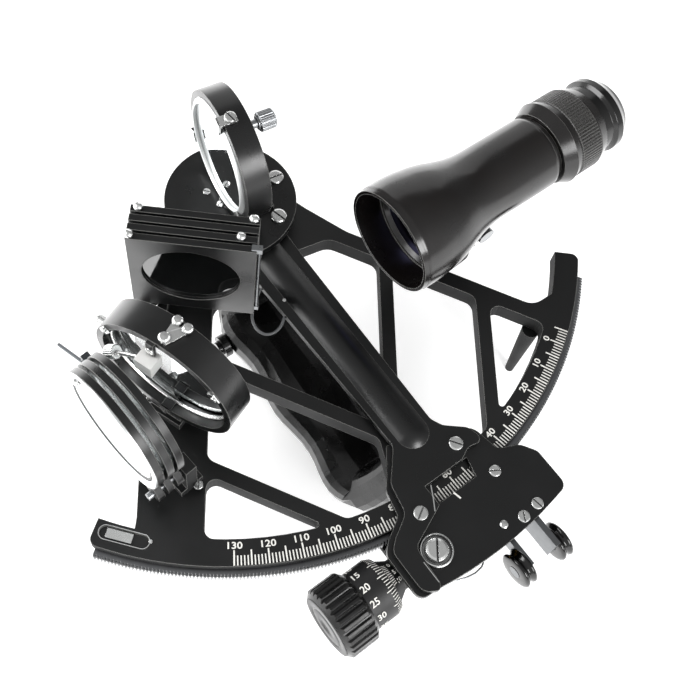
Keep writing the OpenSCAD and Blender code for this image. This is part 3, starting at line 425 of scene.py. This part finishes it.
proud = 0.03
line_end, long_start, short_start, numeral_foot = 159.9, 153.9, 156.0, 153.3
marks = np.arange(-5, 131)
long_marks = marks % 5 == 0
starts = radial(np.where(long_marks, long_start, short_start), -marks / 2, proud)
engraved = [bars(starts, radial(line_end, -marks / 2, proud), np.where(long_marks, 0.62, 0.5))]
for mark in range(0, 131, 10):
    flat, faces = figures(str(mark), 2.75, 0.07)
    flat = flat * [1.18, 1, 1]
    inward = -radial(1.0, -mark / 2)
    right = np.array([inward[1], -inward[0], 0])
    points = radial(numeral_foot, -mark / 2, proud) + flat[:, :1] * right + flat[:, 1:2] * inward
    engraved.append((points, faces))
shown("arc_scale", joined(engraved), paint, "frame")


# ---- Index line
# The arm and its end plate are cut through over the scale. A white line filled in on the window's outer
# edge marks the reading.
def arm(points):
    """Points of the index arm, x from the pivot along the arm, in the instrument's frame."""
    return turned(points, ARM_TURN)


disk_top, arm_top, plate_top = 12.2, 5.4, 2.6
index_line = bars([[160.3, -1.4, plate_top + proud]], [[163.8, -0.5, plate_top + proud]], [0.7])
shown("index_line", index_line, paint, "arm", arm)


# ---- Screws of the arm
# Cheese-head screws, turned from brass bar, slotted and nickel plated, hold the disk over the pivot and
# the end plate. Each slot stands as the screwdriver left it.
def skin(rings):
    """Rings of equal count joined by quads, ring to ring, with a cap on the first and the last."""
    rows, count = rings.shape[:2]
    here = np.arange(count)
    after = (here + 1) % count
    foot = np.arange(rows - 1)[:, None] * count
    head = foot + count
    quads = np.stack([foot + here, foot + after, head + after, head + here], -1).reshape(-1, 4)
    caps = [here[::-1].tolist(), (here + (rows - 1) * count).tolist()]
    return rings.reshape(-1, 3), quads.tolist() + caps


def lathe(profile, sides=48):
    """A profile of (radius, height), turned about z: x = r cos a, y = r sin a."""
    a = np.arange(sides) * 2 * np.pi / sides
    profile = np.asarray(profile, float)
    r, z = profile[:, :1], profile[:, 1:2]
    return skin(np.stack([r * np.cos(a), r * np.sin(a), z + 0 * a], -1))


def slotted_head(r, h, slot):
    """A base disk, and over it two domed part disks, beyond the chords at half the slot to each side."""
    a = np.linspace(np.arcsin(slot / 2 / r), np.pi - np.arcsin(slot / 2 / r), 19)
    edge = np.stack([r * np.cos(a), r * np.sin(a) - slot / 2], -1)
    halves = np.stack([np.column_stack([edge * s + [0, slot / 2], np.full(len(a), z * h)])
                       for s, z in ((1, 0.4), (1, 0.74), (0.93, 0.9), (0.74, 1))])
    return joined([lathe([(r, 0), (r, 0.45 * h)], 36), skin(halves), skin(halves * [-1, -1, 1])])


def carried(shape, by, turn=0.0):
    """A shape turned about z by turn degrees, then carried by (x, y, z)."""
    points, faces = shape
    return turned(points, turn) + by, faces


def at_each(places, shape):
    """Copies of a shape, each carried to its place: (x, y, z, turn)."""
    return joined([carried(shape, spot, turn) for *spot, turn in places])


screws = joined([
    at_each([(2.2, 23.2, disk_top, 80), (19.5, 12.4, disk_top, 15)], slotted_head(3.5, 1.5, 0.8)),
    at_each([(-9, -6.7, disk_top, 40), (-0.3, -5.3, disk_top, 100)], slotted_head(1.7, 0.8, 0.4)),
    at_each([(145.4, 11.6, arm_top, 35), (159.5, -18.7, arm_top, 120)], slotted_head(3.0, 1.3, 0.7)),
    at_each([(163.3, 18.3, plate_top, 60), (183.6, 23.5, plate_top, 10), (184.4, 15.4, plate_top, 150)],
            slotted_head(2.5, 1.1, 0.6))])
shown("arm_screws", screws, nickel, "arm", arm)
rivet = lathe([(1.7, 0), (1.7, 0.3), (1.3, 0.6), (0.2, 0.7)], 24)
pin = lathe([(0.8, -1), (0.8, 0.15), (0.1, 0.2)], 20)
pins = joined([carried(rivet, (182.1, 6.8, plate_top)), carried(pin, (52, -7.6, arm_top)),
               carried(pin, (132.5, 0.2, arm_top + 2.0))])
shown("arm_pins", pins, nickel, "arm", arm)


# ---- Micrometer drum
# A light-alloy drum in matt black, graduated in sixty minutes with every fifth numbered. The sleeve before
# it carries the vernier, ten tenths over nine minutes.
matt = enamel("matt_black_anodised_drum", "#131314", 0.45, 0.4, 0.01, 0.35)
wear(matt, "drum")
# Place along the shaft and radius: the sleeve and its flare, the drum's bevelled front, and its full width.
bevel_end, drum_r = 46.8, 12.5
drum_outline = np.array([(38.0, 6.8), (39.0, 6.8), (44.1, 9.9), (44.2, 11.25), (bevel_end, drum_r),
                         (60.0, drum_r)])


def worm(points):
    """Points of the worm's shaft, z along it toward the knob, in the instrument's frame."""
    p = np.asarray(points, float)
    return arm(np.stack([171.3 + p[..., 0], -p[..., 2], -7.4 + p[..., 1]], -1))


def on_drum(points):
    """Flat points wrapped on the drum and its sleeve: x is degrees round it, y the place along it."""
    p = np.asarray(points, float)
    a, z = np.radians(p[..., 0]), p[..., 1]
    r = np.interp(z, drum_outline[:, 0], drum_outline[:, 1]) + 0.04
    return np.stack([r * np.cos(a), r * np.sin(a), z], -1)


def ring_lines(degrees, low, high, wide):
    """Lines along the axis at each angle, wide degrees to either side, in spans that follow the bevel."""
    lines = []
    for a, top in zip(degrees, np.broadcast_to(high, np.shape(degrees))):
        z = np.unique(np.clip([low, bevel_end, top], low, top))
        edges = np.concatenate([np.stack([0 * z + a + wide, z], -1), np.stack([0 * z + a - wide, z], -1)])
        n = len(z)
        lines.append((on_drum(edges), [[k, k + 1, n + k + 1, n + k] for k in range(n - 1)]))
    return lines


def on_ring(mark, height, weight, degrees, radius, foot):
    """A numeral that reads along the axis: its middle at so many degrees round, its width about foot."""
    flat, faces = figures(str(mark), height, weight)
    degrees = degrees + np.degrees((flat[:, 1] - height / 2) / radius)
    return on_drum(np.stack([degrees, foot - flat[:, 0]], -1)), faces


drum_front, drum_length, knob_length = 44.4, 13, 15.5
knob_top = drum_front + drum_length + knob_length
knob_end = lathe([(13.0, 0.05), (13.0, 0.25), (12.6, 0.4), (9.2, 0.4), (9.0, 0.15), (8.4, 0.15), (8.2, 0.4),
                  (3.4, 0.4), (3.1, 0.12), (0.1, 0.1)], 80)
knob_end = carried(knob_end, (0, 0, knob_top))
shown("drum_knob_end", knob_end, matt, "micrometer", worm, True)
minute = np.arange(60)
first_mark, per_minute = 218.0, 6
line_tops = np.where(minute % 5 == 0, 48.6, 47.3)
drum_marks = ring_lines(first_mark - per_minute * minute, 44.7, line_tops, 0.8)
for mark in range(0, 60, 5):
    points, faces = on_ring(mark, 2.9, 0.07, first_mark - per_minute * mark, drum_r, 54.6)
    drum_marks.append((points * [1.012, 1.012, 1], faces))
shown("drum_scale", joined(drum_marks), paint, "micrometer", worm)
first_tenth, per_tenth = 122, 5.4
vernier = ring_lines(first_tenth - per_tenth * np.arange(11), 42.0, 44.0, 0.9)
vernier += [on_ring(mark, 1.9, 0.05, first_tenth - per_tenth * mark, 8, 40.4) for mark in (0, 5, 10)]
shown("vernier_scale", joined(vernier), paint, "release_frame", worm)


# ---- Index mirror's fittings
# Three folded clips of spring steel hold the mirror in its holder, each under a cheese-head screw in the
# holder's rim, and all nickel plated. A knurled steel capstan at the back tips the mirror against a spring.
def block(low, high):
    """A box from corner to corner."""
    (a, b, c), (d, e, f) = low, high
    return skin(np.array([[(a, b, z), (d, b, z), (d, e, z), (a, e, z)] for z in (c, f)], float))


def hoop(profile):
    """A ring of any section: a closed profile of (radius, height), turned about z."""
    points, faces = lathe(profile + profile[:1], 96)
    return points, faces[:-2]


def upright(points, at, degrees, height):
    """From an upright piece's frame (x in its plane, y up, z out of it) to the instrument's frame."""
    p = np.asarray(points, float)
    return turned(np.stack([p[..., 0], -p[..., 2], p[..., 1]], -1), degrees) + [*at, height]


def aimed(shape, foot, top):
    """A shape built along z, stood on foot so that it points at top."""
    points, faces = shape
    z = unit(np.asarray(top, float) - foot)
    x = unit(np.cross([0.31, 0.17, 0.93], z))
    return np.asarray(foot, float) + points @ np.array([x, np.cross(z, x), z]), faces


def ribbed(radius, depth, count, low, high):
    """A knurled collar: count ridges of the given depth round z, with chamfered ends."""
    a = np.arange(4 * count) * np.pi / (2 * count)
    r = radius - depth * np.tile([0, 0, 1, 1], count)
    rings = [np.stack([(r - c) * np.cos(a), (r - c) * np.sin(a), z + 0 * a], -1)
             for c, z in ((2 * depth, low), (0, low + 2 * depth), (0, high - 2 * depth), (2 * depth, high))]
    return skin(np.array(rings))


def index_mirror(points):
    """The index mirror's frame, whose -z is the silvered side."""
    return upright(points, (-5.8, 0.3), 139, 41.7)


ground = bright("ground_glass_bevel", "#f2f4f4", 0.5)
bevel = hoop([(23.9, 0.5), (24.0, -1.4), (24.2, -1.6), (24.5, -1.5), (25.8, -0.7), (26.3, -0.2), (26.3, 0.5)])
shown("index_mirror_bevel", bevel, ground, "arm", index_mirror, True)
holder_r, middle = 30.8, (0, 0, 0)
folded = joined([block((24.2, -2.3, -2.4), (holder_r, 2.3, -1.6)),
                 block((29.6, -2.3, -2.4), (holder_r, 2.3, 6))])
clips = []
for a in (97, 210, 330):
    foot, top = turned([[holder_r, 0, 3.4], [holder_r + 9, 0, 3.4]], a)
    head = aimed(slotted_head(2.5, 1.5, 0.6), foot, top)
    clips += [carried(folded, middle, a), head]
clips = shown("index_mirror_clips", joined(clips), nickel, "arm", index_mirror)
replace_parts(clips, "index_clips")
capstan = joined([lathe([(1.9, 0), (1.9, 3.0), (3.0, 3.2), (3.0, 3.8)], 32), ribbed(4.2, 0.2, 26, 3.8, 10.6),
                  lathe([(3.0, 10.6), (3.0, 11), (1.3, 11.1), (1.1, 10.6)], 32)])
capstan = aimed(capstan, index_mirror([-6, 24, 11]), index_mirror([-6, 24, 21]))
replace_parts(shown("index_capstan", capstan, steel, "arm"), "index_adjuster")


# ---- Index shades' fittings
# The plates have domed studs on their top edges to swing them by. A steel spring rod stands along the
# front plate's right edge, from a small hinge block down to the bracket.
def index_shades(points):
    """The stack's frame: x along the plates, y up, z back toward the pivot. It mirrors."""
    p = np.asarray(points, float)
    return turned(np.stack([p[..., 0], p[..., 2], p[..., 1]], -1), 17.5) + [9.95, -53.69, 0]


def rod(path, radius, sides=12):
    """A round wire along a path of points."""
    path = np.asarray(path, float)
    way = unit(np.gradient(path, axis=0))
    beside = unit(np.cross([0.05, 0.08, 1.0], way))
    other = np.cross(way, beside)
    a = (np.arange(sides) * 2 * np.pi / sides)[None, :, None]
    return skin(path[:, None] + radius * (np.cos(a) * beside[:, None] + np.sin(a) * other[:, None]))


stud = lathe([(1.2, -0.6), (1.2, 0.7), (1.7, 0.9), (1.95, 1.5), (1.8, 2.2), (1.2, 2.8), (0.3, 3.05)], 28)
shade_top = 62.7
for shade, side, x, z in ((1, "left", -26.6, 1.5), (2, "right", 16.4, 5.7), (4, "left", -24.8, 14.1),
                          (4, "right", 20.5, 14.1)):
    foot = index_shades([x, shade_top, z])
    shown("shade_%d_stud_%s" % (shade, side), aimed(stud, foot, foot + [0, 0, 1]), nickel,
          "sun_shade_%d" % shade, smooth=True)
points, faces = joined([rod([[24.0, y, 1.5] for y in (14, 30, 50, 62.9)], 0.75),
                        block((21.0, 61.2, 0.4), (25.2, 64.2, 2.8)),
                        block((22.4, 12.5, 0.6), (24.9, 15.5, 2.4))])
turned_out = [face[::-1] for face in faces]
shown("shade_spring_rod", (points, turned_out), steel, "sun_shade_1", index_shades)


# ---- Horizon mirror's fittings
# A forked leaf spring lies over the ring's rim. On the rim's front stand a knurled screw on a square nut
# and the clips that hold the half-silvered glass.
def horizon(points):
    """The horizon mirror's frame, whose -z is the silvered side."""
    return upright(points, (17.45, -101.0), -10.7, 41.0)


def round_rim(a, z, r=31.5):
    """A point at an angle, a place along the axis and a radius, by default on the ring's outside."""
    return turned([r, 0, z], a)


def domed(r):
    """The head of a pin."""
    return lathe([(r, -0.4), (r, 1.1), (0.72 * r, 1.9), (0.1, 2.0)], 24)


# The leaf's outline goes round the rim in degrees and along the ring's axis.
leaf_outline = [(92.6, -1.4), (85.8, -0.9), (83.2, -4.4), (79.4, -9.4), (80.8, -12.2), (84.6, -11.6),
                (86.0, -9.2), (87.4, -11.8), (91.0, -12.0), (91.6, -9.2), (91.0, -4.6)]
leaf_low, leaf_high = 31.6, 33.6
fork = [skin(np.array([[round_rim(a, z, r) for a, z in leaf_outline] for r in (leaf_low, leaf_high)]))]
fork += [aimed(domed(r), round_rim(a, z, leaf_high), round_rim(a, z, 40))
         for a, z, r in ((89.2, -2.9, 2.2), (89.3, -11.0, 2.0), (81.4, -10.6, 2.0))]
side_nut = lathe([(2.4, 0), (2.4, 4.2), (1.9, 5)], 28)
fork.append(aimed(side_nut, round_rim(180, -6.5), round_rim(180, -6.5, 40)))
fork = shown("horizon_fork", joined(fork), nickel, "frame", horizon)
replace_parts(fork, "horizon_adjusters")
blasted = bright("bead_blasted_nickel", "#ededeb", 0.6)
nut = block((-7.0, 15.0, -0.4), (0.6, 22.8, 6.4))
shown("horizon_square_nut", nut, blasted, "frame", horizon)
knob = np.array([-18.6, 12.4, 5.4])
screws = joined([rod([[-5.6, 20.6, 3.6], [-12, 17, 4.4], [-18.6, 12.4, 5.4]], 0.9, 10),
                 aimed(ribbed(2.9, 0.16, 22, 0, 5), knob + [2, 1.7, -0.5], knob + [-8, -6.6, 2]),
                 aimed(slotted_head(1.7, 0.9, 0.4), [-2.6, 27.4, 1.8], [-2.6, 27.4, 9])])
shown("horizon_capstan", screws, nickel, "frame", horizon)
strap = block((-4.8, 22.6, 0.1), (-1.4, 31.4, 1.7))
shown("horizon_nut_strap", strap, matt, "frame", horizon)
clip = joined([block((26.2, -1.8, -5.5), (28.4, 1.8, -4.9)), block((27.6, -2.3, -5.6), (28.6, 2.3, 0.6)),
               block((27.6, -2.3, -0.02), (31.0, 2.3, 0.7)),
               carried(slotted_head(1.2, 0.8, 0.35), (29.9, 0, 0.7))])
shown("horizon_low_clip", carried(clip, middle, 270), matt, "frame", horizon)
glass_edge = rod([turned([27.6, 0, -4.4], a) for a in range(0, 361, 6)], 0.8, 8)
clips = joined([carried(clip, middle, 35), carried(clip, middle, 150), glass_edge])
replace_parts(shown("horizon_glass_clips", clips, nickel, "frame", horizon), "horizon_clips")


# ---- Horizon shades' fittings
# The last shade carries a blued steel rod to swing it by, with a folded clip. The front one has a raised ring
# of pale metal, a painted highlight for the light on its black face, a black seat for its glass, a stud and a
# screw.
def sea_shades(points):
    """The frame of the horizon shades, whose +z comes forward."""
    return upright(points, (14.48, -115.6), -25, 0)


shade_middle = (0, 41, 0)
# Painted highlight: the front ring is pale metal where the black shade's face catches the light.
satin = bright("pale_metal_painted_highlight", "#e3e5e6", 0.34)
lip = carried(hoop([(26.9, 12.22), (26.9, 13.0), (26.6, 13.25), (23.9, 12.5), (23.6, 12.22)]), shade_middle)
shown("sea_shade_3_front_ring", lip, satin, "sea_shade_3", sea_shades, True)
seat = carried(hoop([(23.45, 12.3), (23.3, 12.5), (22.3, 12.2), (22.2, 11.6), (23.45, 11.6)]), shade_middle)
shown("sea_shade_3_glass_seat", seat, matt, "sea_shade_3", sea_shades, True)
blued = bright("blued_spring_steel", "#4c4f52", 0.36)
lever = joined([rod([[-26.2, 36, 1.6], [-33, 31, 1.8], [-42, 25.4, 2.2], [-50, 20.6, 2.6]], 0.75),
                block((-30.4, 36.5, 0.2), (-25.4, 44.0, 3.6)),
                aimed(slotted_head(1.5, 0.9, 0.4), [-28.4, 40.5, 3.6], [-28.4, 40.5, 9])])
shown("sea_shade_rod", lever, blued, "sea_shade_1", sea_shades)
foot, top = sea_shades([[-26.6, 33.6, 10.7], [-40, 30.3, 10.7]])
screw_foot, screw_top = sea_shades([[-17.6, 58.6, 12.9], [-17.6, 58.6, 20]])
studs = joined([aimed(stud, foot, top), aimed(slotted_head(2.1, 1.5, 0.5), screw_foot, screw_top)])
shown("sea_shade_stud", studs, nickel, "sea_shade_3", smooth=True)


# ---- Lamp cap and lead
# The lamp over the scale sits under a screwed cap with a bright slotted rim. Its lead, in grey insulation,
# leaves the arm's edge in a loop and comes back to it.
def softened(values, reach):
    """Each value as the mean of those up to reach places from it, with the ends repeated."""
    count = 2 * reach + 1
    return np.convolve(np.pad(values, reach, "edge"), np.ones(count) / count, "valid")


rim = lathe([(6.3, 0), (6.9, 0.4), (6.9, 1.5), (6.6, 1.9), (6.2, 2.0), (5.9, 1.6), (5.8, 0.3),
             (4.6, 0.3)], 64)
cap = carried(joined([rim, slotted_head(4.7, 3.0, 0.9)]), (174.4, -22.3, plate_top), 143)
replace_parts(shown("lamp_cap_slotted", cap, nickel, "arm", arm), "lamp_cap")
sleeve = moulded("grey_wire_insulation", "#77797b", 0.4)
knots = np.array([[58, -11.9], [59, -12.9], [61.5, -17], [61.5, -22], [58, -25], [53, -25], [48, -22],
                  [44.5, -18], [42, -14], [41.2, -12.25]])
steps = np.linspace(0, 9, 55)
way = np.stack([softened(np.interp(steps, np.arange(10), knots[:, k]), 3) for k in (0, 1)], -1)
way[0], way[-1] = knots[0], knots[-1]
lead_height, lead_r = 3.6, 0.6
lead = rod(np.column_stack([way, np.full(len(way), lead_height)]), lead_r, 10)
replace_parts(shown("lamp_lead", lead, sleeve, "arm", arm, True), "lamp_wire")


# ---- Release levers
# Two steel bars carry pulley-shaped finger pieces of polished black acetal on steel hubs. Squeezing them
# together swings the worm out of the rack, and a bent wire spring brings it back.
r = 7.8  # the finger piece's rim
pulley = lathe([(2.7, 0.2), (r - 1.6, 0), (r - 0.5, 0.35), (r, 1.0), (r - 0.3, 1.7), (r - 1.1, 2.4),
                (r - 1.3, 3), (r - 1.1, 3.6), (r - 0.3, 4.3), (r, 5), (r - 0.5, 5.65), (r - 1.6, 6),
                (4.4, 5.8), (4.0, 5.2), (2.7, 5.2)], 56)
hub = lathe([(2.7, 0), (2.7, 5.6), (2.3, 6.0), (1.3, 6.0), (1.1, 5.4), (0.2, 5.3)], 40)
lever_steel = bright("pressed_lever_steel", "#707274", 0.32)
fixed_bar = block((180, 18.9, -13.5), (201, 21.48, 0.38))
moving_bar = block((181, 8.02, -15.2), (200.5, 10.4, -8.2))
for name, x, y, bar, body, node in (("fixed", 198.8, 21.5, fixed_bar, "arm", "fixed_lever"),
                                    ("moving", 198.3, 2.0, moving_bar, "release_frame", "release_lever")):
    foot, top = [x, y, -10.5], [x, y + 6, -10.5]
    finger = aimed(pulley, foot, top)
    finger = shown(name + "_finger_piece", finger, gloss_plastic, body, arm, True)
    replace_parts(finger, node)
    shown(name + "_lever_bar", joined([aimed(hub, foot, top), bar]), lever_steel, body, arm)
spring = rod([[184.5, -24.5, -3.4], [187.6, -20.7, -4], [189.0, -16.5, -4.6], [189.6, -12.6, -5.2],
              [189.2, -9, -5.6], [187.6, -6, -6], [184, -4, -6.4]], 0.35, 8)
shown("carriage_spring", spring, steel, "arm", arm, True)


# ---- Slot in the arc's end
# The slot for the case's latch has a bright filed rim, a nickelled block inside and a small pin beside it.
def arc_end(points):
    """The slot's frame: x outward along the radius at the slot's middle, y along the arc."""
    return turned(np.asarray(points, float) + [153.6, 0, 0], -81.2)


slot_r, slot_half, rim_wide = 2.7, 7.5, 0.32
a = np.radians(np.arange(0, 181, 12))
outward = np.stack([np.cos(a), np.sin(a)], -1)
inner = slot_r * outward + [0, slot_half]
outer = inner + rim_wide * outward
n = 2 * len(a)
rim = np.column_stack([np.concatenate([inner, -inner, outer, -outer]), np.full(2 * n, proud)])
rim_faces = [[n + k, n + (k + 1) % n, (k + 1) % n, k] for k in range(n)]
peg = lathe([(0.8, -0.3), (0.8, 0.25), (0.1, 0.35)], 20)
latch = joined([(rim, rim_faces), block((-1.9, -7.2, -1.2), (1.9, 3.4, -0.25)),
                carried(peg, (-0.8, 10.6, 0))])
shown("latch_slot_rim", latch, nickel, "frame", arc_end)


# ---- Telescope's tube and knurl
# The tube's waist is one smooth curve under a thick coat of enamel. The focus ring is straight-knurled
# over its middle.
def scope(points):
    """The telescope's frame: z along its axis toward the eye, y up."""
    p = np.asarray(points, float)
    across, ahead = np.array([-0.8554, 0.518, 0]), np.array([0.518, 0.8554, 0])
    return p[..., :1] * across + p[..., 1:2] * [0, 0, 1.0] + p[..., 2:] * ahead + [58.17, -35.23, 41.0]


coat, edge_drop = 0.28, 0.26
along = np.arange(34, 112.1, 0.75)
wall = softened(np.interp(along, [34, 44, 56, 71, 80, 112], [24, 24, 22.4, 17.5, 16.3, 16.3]), 6) + coat
wall[[0, -1]] -= edge_drop
points, faces = lathe(np.column_stack([wall, along]), 144)
shown("scope_tube_coat", (points, faces[:-2]), tube_enamel, "frame", scope, True)
shown("focus_knurl", ribbed(18.95, 0.2, 84, 124.2, 135.8), tube_enamel, "eyepiece", scope)


# ---- Bracket screws and window bevel
# Small nickelled screws hold the brackets of the mirrors and shades down. Bright nickel strips along the
# edges of the arm's window are a painted highlight for the light on its bevel.
bracket_screws = at_each([(8.6, -103.0, 4, 20), (8.4, -97.4, 4, 70), (36.0, -121.2, 4, 40),
                          (41.8, -122.5, 4, 110), (-9.6, -57.5, 5, 30), (-8.2, -61.5, 5, 80)],
                         slotted_head(1.9, 0.9, 0.45))
shown("bracket_screws", bracket_screws, nickel, "frame")
# Painted highlight: flat nickel strips lie where light catches the window's bevel.
top = arm_top + 0.04
edges = bars([[152.9, -7.9, top], [157.9, -10.7, top], [175.2, -29.9, top]],
             [[157.9, -10.7, top], [162.2, -13.4, top], [184.6, -29.9, top]], [0.45, 0.45, 0.35])
shown("window_bevel", edges, nickel, "arm", arm)
